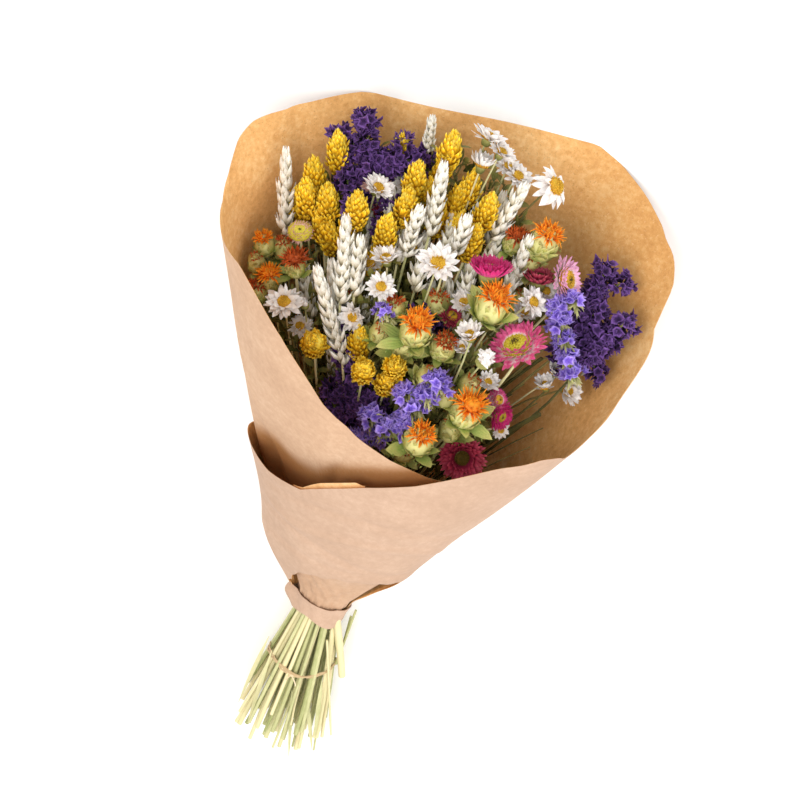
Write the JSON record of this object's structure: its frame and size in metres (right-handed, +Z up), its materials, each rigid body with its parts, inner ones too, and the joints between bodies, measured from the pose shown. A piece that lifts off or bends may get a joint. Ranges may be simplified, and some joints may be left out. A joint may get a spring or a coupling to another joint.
{
  "type": "dried flower bouquet",
  "caption": "Bunch of dried flowers with bare cut stems, rolled in a spiral sheet of kraft paper gathered at the neck and tied with raffia, lying down.",
  "frame": {"origin": "on the table, under the middle of the bouquet's box as it lies", "axes": "+Z up; +Y from the cut stems to the open mouth of the paper; +X to the bouquet's right"},
  "size_m": [0.268, 0.475, 0.1565],
  "materials": {
    "kraft_paper": "matt, speckled, creased",
    "collar_paper": "matt, crumpled",
    "raffia": "dull, fibrous",
    "stems": "dry, grooved",
    "canary_grass": "dry, scaly",
    "wheat": "bleached, satin husks",
    "daisy": "papery, slightly glossy",
    "strawflower_pink": "papery, glossy",
    "strawflower_magenta": "papery, glossy",
    "strawflower_red": "papery, glossy",
    "strawflower_pale": "papery, glossy",
    "safflower": "dry leaf, orange tuft",
    "statice_purple": "papery, matt",
    "statice_violet": "papery, matt"
  },
  "bodies": {
    "root": {"kraft_wrap": "kraft_paper", "neck_collar": "collar_paper", "raffia_tie": "raffia", "stem_bundle": "stems", "strawflower_1": "strawflower_pink", "strawflower_2": "strawflower_magenta", "strawflower_3": "strawflower_red", "strawflower_4": "strawflower_pale", "strawflower_5": "strawflower_red", "strawflower_6": "strawflower_magenta", "strawflower_7": "strawflower_pale", "canary_grass_1": "canary_grass", "canary_grass_2": "canary_grass", "canary_grass_3": "canary_grass", "canary_grass_4": "canary_grass", "canary_grass_5": "canary_grass", "canary_grass_6": "canary_grass", "canary_grass_7": "canary_grass", "canary_grass_8": "canary_grass", "canary_grass_9": "canary_grass", "canary_grass_10": "canary_grass", "canary_grass_11": "canary_grass", "canary_grass_12": "canary_grass", "wheat_1": "wheat", "wheat_2": "wheat", "wheat_3": "wheat", "wheat_4": "wheat", "wheat_5": "wheat", "wheat_6": "wheat", "wheat_7": "wheat", "wheat_8": "wheat", "wheat_9": "wheat", "daisy_1": "daisy", "daisy_2": "daisy", "daisy_3": "daisy", "daisy_4": "daisy", "daisy_5": "daisy", "daisy_6": "daisy", "daisy_7": "daisy", "daisy_8": "daisy", "daisy_9": "daisy", "daisy_10": "daisy", "daisy_11": "daisy", "daisy_12": "daisy", "safflower_1": "safflower", "safflower_2": "safflower", "safflower_3": "safflower", "safflower_4": "safflower", "safflower_5": "safflower", "safflower_6": "safflower", "safflower_7": "safflower", "safflower_8": "safflower", "safflower_9": "safflower", "safflower_10": "safflower", "statice_purple_1": "statice_purple", "statice_purple_2": "statice_purple", "statice_purple_3": "statice_purple", "statice_violet_1": "statice_violet", "statice_violet_2": "statice_violet", "statice_violet_3": "statice_violet"}
  },
  "joints": []
}
